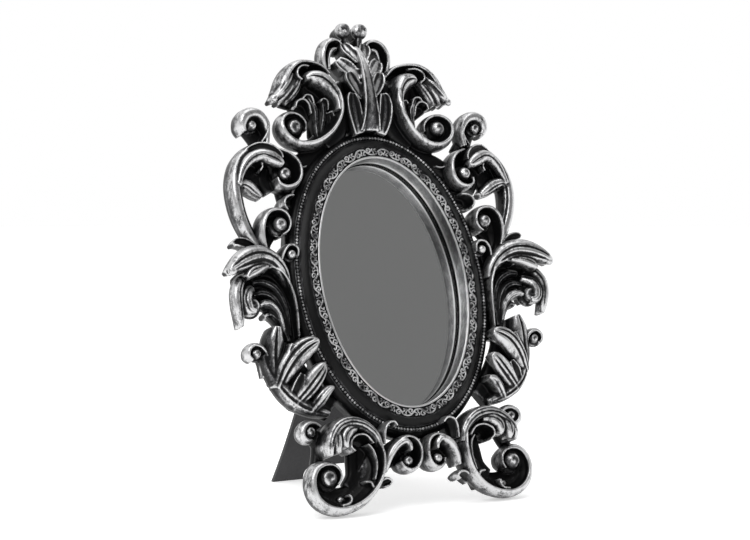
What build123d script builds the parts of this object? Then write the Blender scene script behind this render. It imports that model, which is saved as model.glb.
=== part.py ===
"""Free-standing oval dressing mirror: a scrolled casting, its glass and back board, and an easel strut."""
from build123d import *
import os
from math import atan2, cos, radians, sin

os.makedirs("parts", exist_ok=True)

# ---------------------------------------------------------------------------
# Driving dimensions, in millimetres and degrees
# ---------------------------------------------------------------------------
LEAN = 18.5              # the casting leans back from upright
STRUT_OPENING = 32.0     # from the back board to the strut, against its stop
BACK_CENTRE_Z = 146.6    # the oval's centre, on the casting's flat back, above the table
BACK_CENTRE_Y = -9.8     # puts the whole mirror's box centrally over the origin

SIGHT_A, SIGHT_B = 56.5, 88.5    # half width and half height of the sight opening

# The moulding's section. Offsets run outwards from the sight edge, heights from the flat back.
GLASS_REBATE = 4.8       # how far the glass reaches under the lip
BOARD_REBATE = 10.0      # how far the back board reaches out
MOULDING_WIDE = 21.5
BOARD_THICK = 2.0
CARD_THICK = 0.4
SILVER_THICK = 0.2
GLASS_THICK = 3.0
LIP_THICK = 1.6
LIP_HIGH = 18.2
FLUSH = 0.3              # gap between pieces that move past each other

# The strut and its hinge
HINGE_UP = 76.0          # hinge pin above the oval's centre, along the back
PIN_OFF = 3.0            # pin's axis behind the casting's back
PIN_R = 1.2
PIN_RUNNING = 0.05       # radial clearance of the turning knuckle
KNUCKLE_R = 2.2
PLATE_THICK = 0.8
STRUT_THICK = 3.0
STRUT_FACE = 2.5         # from the pin's axis to the strut's inner face
STRUT_FOOT = 46.0        # half widths of the strut, from its foot up to the hinge
STRUT_KNEE = 33.0
STRUT_TOP = 19.0

# Turn buttons
BUTTON_OFFSET = 15.5     # pivot, outwards from the sight edge
BUTTON_ANGLES = (38, 142, 218, 322)
BUTTON_THICK = 1.0
BUTTON_WIDE = 8.0
BUTTON_REACH = 12.0
SCREW_R = 1.5
SCREW_RUNNING = 0.05
SCREW_HEAD_R = 3.0
SCREW_DEEP = 7.0

STEP_SHARE = 0.62        # a band of the ornament is a wide lower step and a narrow upper one
RIDGE_SHARE = 0.55

# ---------------------------------------------------------------------------
# Planes
# ---------------------------------------------------------------------------
lean = radians(LEAN)
back = Plane(
    origin=(0, BACK_CENTRE_Y, BACK_CENTRE_Z),
    x_dir=(1, 0, 0),
    z_dir=(0, -cos(lean), sin(lean)),
)
pin_centre = back.from_local_coords(Vector(0, HINGE_UP, -PIN_OFF))
tilt = radians(STRUT_OPENING - LEAN)
strut_plane = Plane(origin=pin_centre, x_dir=(1, 0, 0), z_dir=(0, -cos(tilt), -sin(tilt)))
pin_plane = Plane(origin=pin_centre, x_dir=(0, 1, 0), z_dir=(1, 0, 0))
sight_section = Plane(
    origin=back.from_local_coords(Vector(SIGHT_A, 0, 0)),
    x_dir=(1, 0, 0),
    z_dir=(0, -sin(lean), -cos(lean)),
)


def save(piece, name):
    """Label a finished piece and write its STEP file."""
    piece.part.label = name
    export_step(piece.part, f"parts/{name}.step")


# ---------------------------------------------------------------------------
# The moulding: rings of constant section round the oval
# ---------------------------------------------------------------------------
def ring(section):
    """Sweep a section, given as (offset, height) points, round the sight edge."""
    with BuildPart() as swept:
        with BuildLine(back) as sight_edge:
            EllipticalCenterArc((0, 0), SIGHT_A, SIGHT_B, arc_size=360)
        with BuildSketch(sight_section):
            with BuildLine():
                Polyline(*section, close=True)
            make_face()
        sweep(path=sight_edge.wires()[0])
    return swept


glass_back = BOARD_THICK + CARD_THICK + SILVER_THICK
glass_front = glass_back + GLASS_THICK

frame_moulding = ring([
    (BOARD_REBATE, 0),
    (MOULDING_WIDE, 0),
    (MOULDING_WIDE, 8.5),
    (20.0, 11.5),
    (17.6, 12.6),
    (17.4, 13.6),
    (14.6, 13.6),
    (14.2, 14.6),
    (11.5, 17.0),
    (8.2, 18.0),
    (LIP_THICK, 18.0),
    (LIP_THICK, glass_front),
    (GLASS_REBATE, glass_front),
    (GLASS_REBATE, BOARD_THICK),
    (BOARD_REBATE, BOARD_THICK),
])
save(frame_moulding, "frame_moulding")

sight_edge_lip = ring([
    (0, glass_front),
    (LIP_THICK, glass_front),
    (LIP_THICK, LIP_HIGH - 0.6),
    (LIP_THICK - 0.5, LIP_HIGH),
    (0.5, LIP_HIGH),
    (0, LIP_HIGH - 0.6),
])
save(sight_edge_lip, "sight_edge_lip")

filigree_band = ring([(1.9, 18.0), (7.8, 18.0), (7.3, 18.8), (2.4, 18.8)])
save(filigree_band, "filigree_band")

bead_band = ring([(15.0, 13.6), (17.0, 13.6), (17.0, 14.5), (16.5, 15.2), (15.5, 15.2), (15.0, 14.5)])
save(bead_band, "bead_band")


# ---------------------------------------------------------------------------
# The flat oval layers in the rebate, from the glass to the back board
# ---------------------------------------------------------------------------
def oval_layer(offset, low, thick):
    """An oval plate, reaching out by offset from the sight edge."""
    with BuildPart() as layer:
        with BuildSketch(back.offset(low)):
            Ellipse(SIGHT_A + offset, SIGHT_B + offset)
        extrude(amount=thick)
    return layer


mirror_glass = oval_layer(GLASS_REBATE - FLUSH, glass_back, GLASS_THICK)
save(mirror_glass, "mirror_glass")

mirror_silvering = oval_layer(GLASS_REBATE - FLUSH, glass_back - SILVER_THICK, SILVER_THICK)
save(mirror_silvering, "mirror_silvering")

backing_card = oval_layer(GLASS_REBATE - FLUSH, BOARD_THICK, CARD_THICK)
save(backing_card, "backing_card")

back_board = oval_layer(BOARD_REBATE - FLUSH, 0, BOARD_THICK)
save(back_board, "back_board")


# ---------------------------------------------------------------------------
# Turn buttons and their screws
# ---------------------------------------------------------------------------
def button_plane(angle):
    """A plane on the casting's back at one pivot: its x runs inwards, its z out of the back."""
    ellipse_a = SIGHT_A + BUTTON_OFFSET
    ellipse_b = SIGHT_B + BUTTON_OFFSET
    u = ellipse_a * cos(radians(angle))
    v = ellipse_b * sin(radians(angle))
    inwards = atan2(-v / ellipse_b ** 2, -u / ellipse_a ** 2)
    return Plane(
        origin=back.from_local_coords(Vector(u, v, 0)),
        x_dir=back.x_dir * cos(inwards) + back.y_dir * sin(inwards),
        z_dir=-back.z_dir,
    )


for number, angle in enumerate(BUTTON_ANGLES, start=1):
    pivot = button_plane(angle)
    with BuildPart() as turn_button:
        with BuildSketch(pivot.offset(FLUSH)):
            with Locations((BUTTON_REACH / 2, 0)):
                SlotCenterToCenter(BUTTON_REACH, BUTTON_WIDE)
            Circle(SCREW_R + SCREW_RUNNING, mode=Mode.SUBTRACT)
        extrude(amount=BUTTON_THICK)
    save(turn_button, f"turn_button_{number}")

head_under = FLUSH + BUTTON_THICK + FLUSH
with BuildPart() as button_screws:
    for angle in BUTTON_ANGLES:
        pivot = button_plane(angle)
        with BuildSketch(pivot.offset(-SCREW_DEEP)):
            Circle(SCREW_R)
        extrude(amount=SCREW_DEEP + head_under)
        with BuildSketch(pivot.offset(head_under)):
            Circle(SCREW_HEAD_R)
        extrude(amount=1.3)
        with BuildSketch(pivot.offset(head_under + 0.7)):
            Rectangle(4.0, 0.8)
            Rectangle(0.8, 4.0)
        extrude(amount=0.6, mode=Mode.SUBTRACT)
save(button_screws, "button_screws")

# ---------------------------------------------------------------------------
# Strut hinge: a plate on the board, a leaf on the strut, and the pin
# ---------------------------------------------------------------------------
HINGE_HALF = 15.0
KNUCKLE_SPLIT = 7.0      # the turning knuckle lies between +-6.7, the fixed ones outside +-7
LEAF_LONG = 22.0
plate_rivets_at = [(-10, -13), (10, -13), (0, -17)]
leaf_rivets_at = [(-8, -11), (8, -11), (0, -17)]

with BuildPart() as hinge_plate:
    with BuildSketch(back.offset(-PLATE_THICK)):
        with Locations((0, HINGE_UP - 8)):
            RectangleRounded(2 * HINGE_HALF, 26, 3)
    extrude(amount=PLATE_THICK)
    for low, high in ((-HINGE_HALF, -KNUCKLE_SPLIT), (KNUCKLE_SPLIT, HINGE_HALF)):
        with BuildSketch(back.offset(-PIN_OFF)):
            with Locations(((low + high) / 2, HINGE_UP)):
                Rectangle(high - low, 2 * (KNUCKLE_R - 0.6))
        extrude(amount=PIN_OFF - PLATE_THICK / 2)
        with BuildSketch(pin_plane.offset(low)):
            Circle(KNUCKLE_R)
        extrude(amount=high - low)
    with BuildSketch(pin_plane.offset(-HINGE_HALF)):
        Circle(PIN_R)
    extrude(amount=2 * HINGE_HALF, mode=Mode.SUBTRACT)
save(hinge_plate, "hinge_plate")

with BuildPart() as hinge_pin:
    with BuildSketch(pin_plane.offset(-HINGE_HALF - 0.9)):
        Circle(PIN_R)
    extrude(amount=2 * HINGE_HALF + 1.8)
    for start in (-HINGE_HALF - 0.9, HINGE_HALF):
        with BuildSketch(pin_plane.offset(start)):
            Circle(PIN_R + 0.6)
        extrude(amount=0.9)
save(hinge_pin, "hinge_pin")

half_turning = KNUCKLE_SPLIT - FLUSH
with BuildPart() as hinge_leaf:
    with BuildSketch(strut_plane.offset(-STRUT_FACE)):
        with Locations((0, -2.9 - LEAF_LONG / 2)):
            RectangleRounded(26, LEAF_LONG, 3)
        with Locations((0, -3.0)):
            Rectangle(2 * half_turning, 6.0)
    extrude(amount=PLATE_THICK)
    with BuildSketch(pin_plane.offset(-half_turning)):
        Circle(KNUCKLE_R)
    extrude(amount=2 * half_turning)
    with BuildSketch(pin_plane.offset(-half_turning)):
        Circle(PIN_R + PIN_RUNNING)
    extrude(amount=2 * half_turning, mode=Mode.SUBTRACT)
save(hinge_leaf, "hinge_leaf")

with BuildPart() as board_rivets:
    for u, v in plate_rivets_at:
        with BuildSketch(back.offset(-PLATE_THICK - 0.7)):
            with Locations((u, HINGE_UP + v)):
                Circle(2.0)
        extrude(amount=0.7)
        with BuildSketch(back.offset(-PLATE_THICK)):
            with Locations((u, HINGE_UP + v)):
                Circle(1.1)
        extrude(amount=PLATE_THICK + BOARD_THICK - 0.2)
save(board_rivets, "board_rivets")

with BuildPart() as strut_rivets:
    for x, y in leaf_rivets_at:
        with BuildSketch(strut_plane.offset(-STRUT_FACE - STRUT_THICK - 0.7)):
            with Locations((x, y)):
                Circle(2.2)
        extrude(amount=0.7)
        with BuildSketch(strut_plane.offset(-STRUT_FACE - STRUT_THICK)):
            with Locations((x, y)):
                Circle(1.1)
        extrude(amount=STRUT_THICK + PLATE_THICK)
        with BuildSketch(strut_plane.offset(-STRUT_FACE + PLATE_THICK)):
            with Locations((x, y)):
                Circle(1.9)
        extrude(amount=0.6)
save(strut_rivets, "strut_rivets")

# ---------------------------------------------------------------------------
# Easel strut: flared sides, a bevelled heel that stops on the board, an arched foot
# ---------------------------------------------------------------------------
strut_drop = pin_centre.Z / cos(tilt)     # from the pin to the table, along the strut
knee_up = 52.0                            # height of the middle of the flare above the foot
HEEL = 12.0                               # more than it needs above the pin: the bevel trims it
ARCH_HALF, ARCH_RISE = 21.5, 9.5

with BuildPart() as easel_strut:
    with BuildSketch(strut_plane.offset(-STRUT_FACE - STRUT_THICK)) as outline:
        with BuildLine():
            Spline(
                (STRUT_TOP, 0),
                (STRUT_TOP + 5.0, -strut_drop / 2),
                (STRUT_KNEE, -strut_drop + knee_up),
                (STRUT_FOOT + 1.2, -strut_drop - 5),
            )
            Line((STRUT_FOOT + 1.2, -strut_drop - 5), (-STRUT_FOOT - 1.2, -strut_drop - 5))
            Spline(
                (-STRUT_FOOT - 1.2, -strut_drop - 5),
                (-STRUT_KNEE, -strut_drop + knee_up),
                (-STRUT_TOP - 5.0, -strut_drop / 2),
                (-STRUT_TOP, 0),
            )
            Polyline((-STRUT_TOP, 0), (-STRUT_TOP, HEEL), (STRUT_TOP, HEEL), (STRUT_TOP, 0))
        make_face()
    extrude(amount=STRUT_THICK)
    # the bevelled heel lies flat to the board when the strut is open
    with BuildSketch(back.offset(-FLUSH)):
        with Locations((0, HINGE_UP)):
            Rectangle(4 * STRUT_TOP, 8 * HEEL)
    extrude(amount=4 * HEEL, mode=Mode.SUBTRACT)
    # the foot stands flat on the table, on two pads with an arch between them
    with BuildSketch(Plane.XY):
        with Locations((0, pin_centre.Y + strut_drop * sin(tilt))):
            Rectangle(4 * STRUT_FOOT, 60)
    extrude(amount=-20, mode=Mode.SUBTRACT)
    with BuildSketch(Plane.XZ.offset(-pin_centre.Y)):
        with Locations((0, -40 + ARCH_RISE)):
            RectangleRounded(2 * ARCH_HALF, 80, 7)
    extrude(amount=-120, mode=Mode.SUBTRACT)
save(easel_strut, "easel_strut")


# ---------------------------------------------------------------------------
# Ornament: tapering bands along hand-drawn curves, standing on the flat back
# ---------------------------------------------------------------------------
def width_at(widths, share):
    """Width a share of the way along a band, straight between the stated widths."""
    place = share * (len(widths) - 1)
    index = min(int(place), len(widths) - 2)
    return widths[index] + (widths[index + 1] - widths[index]) * (place - index)


def band_outline(path, widths, scale=1.0):
    """The outline of a band: two sides drawn beside the path, closed by round ends."""
    stations = 2 * len(path) - 1
    with BuildSketch() as outline:
        with BuildLine():
            spine = Spline(*path, mode=Mode.PRIVATE)
            left, right = [], []
            for index in range(stations):
                share = index / (stations - 1)
                point = spine @ share
                along = spine % share
                half = scale * width_at(widths, share) / 2
                left.append((point.X - along.Y * half, point.Y + along.X * half))
                right.append((point.X + along.Y * half, point.Y - along.X * half))
            start_half = scale * widths[0] / 2
            end_half = scale * widths[-1] / 2
            start_tip = spine @ 0 - (spine % 0) * start_half
            end_tip = spine @ 1 + (spine % 1) * end_half
            Spline(*left)
            ThreePointArc(left[-1], (end_tip.X, end_tip.Y), right[-1])
            Spline(*reversed(right))
            ThreePointArc(right[0], (start_tip.X, start_tip.Y), left[0])
        make_face()
    return outline.sketch


def ornament(name, bands, webs=(), discs=(), balls=()):
    """A right-hand piece of the casting and its mirrored twin.

    bands: (path, widths, height) ridged strokes. webs: the same, but flat.
    discs: (u, v, radius, height). balls: (u, v, radius, height of centre).
    """
    strokes = []
    for path, widths, height in bands:
        strokes.append((band_outline(path, widths), 0, height * STEP_SHARE))
        strokes.append((band_outline(path, widths, RIDGE_SHARE), height * STEP_SHARE, height))
    for path, widths, height in webs:
        strokes.append((band_outline(path, widths), 0, height))
    with BuildPart() as right_piece:
        for outline, low, high in strokes:
            with BuildSketch(back.offset(low)):
                add(outline)
            extrude(amount=high - low)
        for u, v, radius, height in discs:
            with BuildSketch(back):
                with Locations((u, v)):
                    Circle(radius)
            extrude(amount=height)
        for u, v, radius, height in balls:
            with Locations(back.from_local_coords(Vector(u, v, height))):
                Sphere(radius)
        with BuildSketch(Plane.XY):
            Rectangle(400, 400)
        extrude(amount=-30, mode=Mode.SUBTRACT)
    save(right_piece, f"{name}_right")
    with BuildPart() as left_piece:
        mirror(right_piece.part, about=Plane.YZ)
    save(left_piece, f"{name}_left")
    return right_piece


ornament(
    "crest_top_scroll",
    bands=[([(24, 157), (29, 164), (30, 171), (26, 178), (18, 181), (11, 178.5), (9.5, 174.5)],
            [5, 6, 7, 7, 6.5, 5.5, 4], 14)],
    webs=[([(21, 160), (20, 170), (16, 176)], [8, 10, 8], 6)],
)
ornament(
    "crest_bud",
    bands=[([(2.6, 168), (4, 177), (6.3, 185)], [4.6, 4.6, 5.5], 11)],
    balls=[(6.6, 186.9, 6.2, 11.0)],
)
ornament(
    "crest_volute",
    bands=[
        ([(17, 153), (13, 140), (12, 130), (15, 118), (20, 108), (28, 100), (40, 95.5), (50, 94.5),
          (60, 98), (67, 105), (67.5, 114), (62, 121.5), (53, 122), (47, 117)],
         [3, 5, 6, 6, 7, 8, 8, 8, 7.5, 7, 6.5, 6, 5, 4], 20),
    ],
    webs=[([(17, 148), (20, 125), (32, 109), (48, 104), (58, 106)], [5, 15, 19, 14, 8], 8)],
    discs=[(55.5, 111.5, 5.5, 19), (55.5, 111.5, 9.0, 8)],
)
ornament(
    "crest_hood",
    bands=[
        ([(20, 152), (30, 157.5), (42, 158.5), (53, 154), (61, 146), (66, 137), (68.5, 133)],
         [6, 9, 10, 11, 11, 8, 5], 18),
        ([(63, 132), (53, 128.5), (44, 124), (37, 116)], [6, 7, 7, 6], 14),
    ],
    webs=[([(26, 150), (40, 146), (54, 138)], [8, 14, 12], 7)],
)
ornament(
    "crest_leaves",
    bands=[
        ([(26, 116), (25, 128), (28, 139), (35, 146), (44, 147.5)], [6, 8, 11, 12, 6], 23),
        ([(38, 106), (39, 118), (40, 128), (44, 135)], [6, 7, 7, 5], 14),
        ([(37, 106), (33, 114), (31, 124), (33, 132)], [6, 7, 7, 5], 14),
    ],
    webs=[([(31, 126), (34, 136), (42, 144)], [10, 14, 8], 8)],
)
ornament(
    "shoulder_scroll",
    bands=[([(84, 97), (79, 105), (78, 114), (83, 121.5), (91, 123.5), (98, 120.5), (101, 114),
             (98, 108.5)], [9, 7, 6, 6, 7, 7.5, 7, 5], 18)],
    webs=[([(84, 100), (86, 108), (91, 115)], [9, 13, 12], 10)],
)
ornament(
    "side_crescent",
    bands=[
        ([(74, 97), (86, 95.5), (97, 88.5), (106, 76), (109.5, 60), (107, 45), (99, 31), (90, 20)],
         [5, 9, 12, 13, 13, 12, 9, 6], 16),
        ([(95, 91), (86, 90), (77, 85.5)], [8, 10, 6], 25),
        ([(108, 68), (102, 71), (95, 68), (88, 65)], [4, 9, 9, 5], 14),
        ([(101, 84), (94, 86), (87, 84), (86, 78)], [4, 4, 4, 3], 14),
    ],
    webs=[([(76, 92), (86, 81), (88, 68)], [12, 22, 13], 8)],
)
ornament(
    "inner_spiral",
    bands=[([(78, 95), (69, 93), (63, 86), (62, 77), (67, 69.5), (75, 68.5), (80, 74)],
            [4, 4.5, 5, 5, 5.5, 5, 4], 20)],
    webs=[([(76, 58), (72, 68), (70, 78), (72, 88)], [8, 12, 16, 12], 9)],
    discs=[(72, 78, 4.5, 20)],
)
ornament(
    "mid_volute",
    bands=[([(87, 12), (92, 24), (95, 34), (94, 43), (88, 49.5), (80, 49), (75.5, 43), (77, 36.5)],
            [8, 9, 8, 6.5, 5.5, 5, 4.5, 4], 19)],
    webs=[([(77, 57), (80, 48), (85, 38), (89, 28)], [6, 14, 16, 8], 8)],
    discs=[(80, 41, 4.2, 21)],
)
ornament(
    "small_scroll",
    bands=[([(84, 10), (85, 18), (81, 24.5), (75, 25), (71.5, 20.5)], [6, 5, 4.5, 4, 3.5], 15)],
    webs=[([(73, 14), (77, 20)], [8, 8], 8)],
)
ornament(
    "mid_leaf",
    bands=[
        ([(78, -40), (76, -22), (77.5, -5), (84, 8), (94, 16.5), (106, 19.5), (117, 15), (127.5, 8)],
         [8, 9, 11, 13, 14, 14, 11, 5], 19),
        ([(112, 14), (120, 5), (124, -7), (123, -18), (121, -26)], [8, 9, 9, 8, 6], 13),
        ([(80, -26), (88, -9), (100, -1), (111, -4), (114.5, -13), (110, -20)],
         [8, 10, 10, 9, 8, 6], 15),
        ([(80, -33), (87, -20), (95, -12), (102, -11)], [6, 8, 8, 4], 13),
        ([(83, -32), (92, -23), (100, -23)], [6, 7, 5], 10),
    ],
    webs=[([(80, -35), (86, -12), (98, 4), (114, 4)], [10, 22, 22, 14], 8)],
)
ornament(
    "side_bud",
    bands=[([(96, 20), (103, 27.5), (110, 30), (114.5, 28.5)], [5, 6, 7, 5], 12)],
)
ornament(
    "small_ball",
    bands=[([(104, -60), (102.5, -49), (106, -41), (112, -38.5), (117.5, -42), (117, -48.5)],
            [7, 6, 5, 5, 5, 4.5], 13)],
    webs=[([(105, -52), (111, -45)], [8, 11], 7)],
    discs=[(111.5, -45.5, 3.5, 12)],
)
ornament(
    "lower_leaf",
    bands=[
        ([(106, -52), (103, -62), (98, -71), (91, -79), (82, -84.5), (70, -88), (58, -89)],
         [6, 9, 11, 12, 12, 11, 7], 16),
        ([(101, -62), (97, -47), (93, -35), (91, -27)], [8, 12, 12, 5], 15),
        ([(97, -64), (89, -51), (80, -44), (70, -41)], [10, 13, 12, 6], 24),
        ([(88, -80), (79, -69), (71, -61), (66.5, -57.5)], [8, 10, 10, 5], 21),
        ([(76, -85), (69, -78), (62, -72.5)], [6, 7, 5], 20),
    ],
    webs=[([(97, -66), (85, -70), (70, -80)], [12, 22, 16], 9)],
)
ornament(
    "foot_curl",
    bands=[([(72, -90), (80, -91.5), (87, -93.5), (89, -99.5), (85.5, -104.5), (79, -105)],
            [4, 4, 5, 5.5, 5, 4], 13)],
    webs=[([(76, -94), (81, -99), (80, -110), (76, -120)], [8, 9, 8, 7], 7)],
)
ornament(
    "foot_leaf",
    bands=[
        ([(29, -112), (36, -103), (47, -97), (59, -96), (69, -101), (74, -110), (74.5, -118)],
         [6, 8, 10, 10, 9, 8, 4], 21),
        ([(44, -98), (52, -104), (55, -112)], [7, 8, 4], 15),
    ],
    webs=[([(40, -106), (52, -108), (66, -110)], [8, 12, 14], 8)],
)
foot_scroll = ornament(
    "foot_scroll",
    bands=[
        ([(40, -101), (31, -107), (27, -118), (29, -129), (35, -139), (45, -146), (57, -151),
          (69, -152), (79.5, -148), (86, -140), (86, -130), (80, -123.5), (72, -122)],
         [6, 6, 6, 6.5, 7.5, 8.5, 9, 9, 9, 9, 7.5, 6, 5], 17),
    ],
    webs=[([(36, -110), (37, -126), (47, -139), (60, -144.5), (73, -141)], [8, 14, 15, 12, 10], 8)],
    discs=[(70.5, -132, 5.0, 17), (71, -132, 8.5, 8)],
)
ornament(
    "toe_curl",
    bands=[([(40, -141), (33, -137), (26, -136), (24, -139)], [6, 6, 5, 4], 12)],
)
ornament(
    "bottom_scroll",
    bands=[([(31, -131), (28, -119), (21, -111.5), (12, -110), (5, -115), (4, -123), (9, -129.5),
             (15.5, -129.5)], [6, 6.5, 6, 5.5, 5, 5, 5, 4], 17)],
    webs=[([(26, -128), (24, -119), (14, -117), (10, -124)], [6, 10, 12, 10], 8)],
)
ornament(
    "bottom_curl",
    bands=[([(28.5, -113), (28, -104), (24, -100), (19, -101)], [5, 4.5, 4, 3], 20)],
)

with BuildPart() as crest_plume:
    for path, widths, low, high in (
        ([(0, 114.5), (0, 130), (0, 150), (0, 173)], [17, 12, 8, 10], 0, 15),
        ([(0, 114.5), (0, 130), (0, 150), (0, 173)], [10, 7, 4.5, 6], 15, 24),
        ([(6, 113), (12, 124), (12.5, 134)], [7, 9, 5], 0, 22),
        ([(3, 134), (9, 143), (12, 150)], [6, 8, 4], 0, 21),
        ([(3, 148), (10, 157), (16.5, 163)], [6, 8, 5], 0, 16),
    ):
        for side in (1, -1):
            outline = band_outline([(side * u, v) for u, v in path], widths)
            with BuildSketch(back.offset(low)):
                add(outline)
            extrude(amount=high - low)
save(crest_plume, "crest_plume")

lowest_foot = foot_scroll.part.faces().sort_by(Axis.Z)[0]
print("foot pad area", round(lowest_foot.area, 1), "centre", lowest_foot.center())
print("pin centre", pin_centre, "strut drop", strut_drop)
print("button pivots", [tuple(round(c, 3) for c in button_plane(a).origin) for a in BUTTON_ANGLES])
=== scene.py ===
# %% [markdown]
# # A standing oval mirror in a carved-look casting
# The real thing is one resin casting: an oval moulding with a pierced border of scrolls and
# acanthus leaves. It is sprayed black and then dry-brushed with silver, so that only the high
# places catch the paint. Glass, card, back board and strut are added from behind.
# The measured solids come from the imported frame. This script gives them their looks.

# %% Load the measured frame
from math import cos, pi, radians, sin, sqrt

import bmesh
import bpy
from mathutils import Matrix, Vector, kdtree
import numpy as np


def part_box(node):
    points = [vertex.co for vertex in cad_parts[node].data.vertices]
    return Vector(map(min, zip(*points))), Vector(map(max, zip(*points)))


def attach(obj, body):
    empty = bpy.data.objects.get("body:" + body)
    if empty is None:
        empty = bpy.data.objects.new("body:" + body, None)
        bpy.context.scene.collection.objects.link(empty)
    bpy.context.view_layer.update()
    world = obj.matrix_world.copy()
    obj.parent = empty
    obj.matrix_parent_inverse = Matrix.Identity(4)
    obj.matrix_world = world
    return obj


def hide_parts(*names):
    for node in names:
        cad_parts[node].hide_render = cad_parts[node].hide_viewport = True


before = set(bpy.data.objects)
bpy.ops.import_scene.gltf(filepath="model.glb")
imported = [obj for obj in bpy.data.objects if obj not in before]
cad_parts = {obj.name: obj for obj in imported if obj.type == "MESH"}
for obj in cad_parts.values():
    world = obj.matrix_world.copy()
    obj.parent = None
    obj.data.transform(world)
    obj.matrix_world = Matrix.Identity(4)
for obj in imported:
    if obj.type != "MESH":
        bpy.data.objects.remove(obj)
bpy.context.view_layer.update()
MM = 0.001

# %% [markdown]
# ## The casting's own plane
# The casting leans back, but it is far easier to carve it lying flat. Every ornament is made
# with u across, v up the casting and w out of its flat back, in millimetres. One matrix then
# stands it up. Its origin is worked out from the glass, whose middle is a known height above
# the back.

# %% Stand the flat plane up
LEAN = radians(18.5)
SIGHT_A, SIGHT_B = 56.5, 88.5         # half width and half height of the sight opening
GLASS_MIDDLE = 4.1                    # the glass's middle above the flat back

glass_low, glass_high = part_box("mirror_glass")
glass_centre = (glass_low + glass_high) / 2
out_of_back = Vector((0, -cos(LEAN), sin(LEAN)))
up_the_back = Vector((0, sin(LEAN), cos(LEAN)))
back_centre = glass_centre - out_of_back * GLASS_MIDDLE * MM

stand = Matrix((
    (MM, 0, 0, 0),
    (0, up_the_back.y * MM, out_of_back.y * MM, back_centre.y),
    (0, up_the_back.z * MM, out_of_back.z * MM, back_centre.z),
    (0, 0, 0, 1),
))
print("oval centre stands", round(back_centre.z / MM, 1), "mm above the table")

# %% [markdown]
# ## Turning a bmesh into a piece
# Each finished piece keeps its object at the origin, with its place in its mesh. It rides on a
# body, hides the plain solids that it replaces, and has one material.


# %% Helper: finish a piece
def collect(bm, name):
    """Write a bmesh to a new object at the origin."""
    mesh = bpy.data.meshes.new(name)
    bm.to_mesh(mesh)
    bm.free()
    piece = bpy.data.objects.new(name, mesh)
    bpy.context.scene.collection.objects.link(piece)
    return piece


def hand_over(piece, body, nodes, material, smooth=True):
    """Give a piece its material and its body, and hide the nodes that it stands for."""
    piece.data.materials.clear()
    piece.data.materials.append(material)
    if smooth:
        piece.data.polygons.foreach_set("use_smooth", [True] * len(piece.data.polygons))
    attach(piece, body)
    if nodes:
        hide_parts(*nodes)
    return piece


# %% [markdown]
# ## Carving with a moving section
# A scroll or a leaf is a section that travels along a curve and changes size on the way. It
# could be a curve with a bevel object, but that can't change its shape as it goes. Here a loop of
# vertices is extruded from station to station, and each new loop is set to its own section.


# %% Helper: a smooth line through a few rows of numbers
def through(rows, steps):
    """Catmull-Rom rows between the given rows, whatever numbers they hold."""
    count = len(rows)
    line = []
    for index in range(count - 1):
        p0 = rows[max(index - 1, 0)]
        p1, p2 = rows[index], rows[index + 1]
        p3 = rows[min(index + 2, count - 1)]
        for step in range(steps):
            t = step / steps
            line.append(tuple(
                0.5 * (2 * b + (c - a) * t + (2 * a - 5 * b + 4 * c - d) * t ** 2
                       + (3 * b - a - 3 * c + d) * t ** 3)
                for a, b, c, d in zip(p0, p1, p2, p3)
            ))
    line.append(tuple(rows[-1]))
    return line


# %% Helper: extrude a loop of vertices along the line
def travel(bm, line, section, closed=False):
    """Sweep section(row) -> [(x, height, rub)] along a line of (u, v, ...) rows."""
    rub = bm.verts.layers.float.get("rub") or bm.verts.layers.float.new("rub")
    last = len(line) - 1
    loop, edges, first_edges = None, None, None
    for index, row in enumerate(line):
        ahead = line[(index + 1) % len(line)] if closed else line[min(index + 1, last)]
        behind = line[index - 1] if closed else line[max(index - 1, 0)]
        along = Vector((ahead[0] - behind[0], ahead[1] - behind[1])).normalized()
        left = Vector((-along.y, along.x))
        places = section(row)
        if loop is None:
            loop = bmesh.ops.create_circle(bm, segments=len(places), radius=1)["verts"]
            edges = list({e for v in loop for e in v.link_edges})
            first_edges = edges
        else:
            grown = bmesh.ops.extrude_edge_only(bm, edges=edges)["geom"]
            fresh = {g for g in grown if isinstance(g, bmesh.types.BMVert)}
            loop = [next(o for e in v.link_edges if (o := e.other_vert(v)) in fresh) for v in loop]
            edges = list({e for v in loop for e in v.link_edges if e.other_vert(v) in fresh})
        for vert, (x, height, paint) in zip(loop, places):
            vert.co = (row[0] + left.x * x, row[1] + left.y * x, height)
            vert[rub] = paint
    if closed:
        bmesh.ops.bridge_loops(bm, edges=first_edges + edges)
    else:
        bmesh.ops.holes_fill(bm, edges=first_edges + edges)
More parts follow.
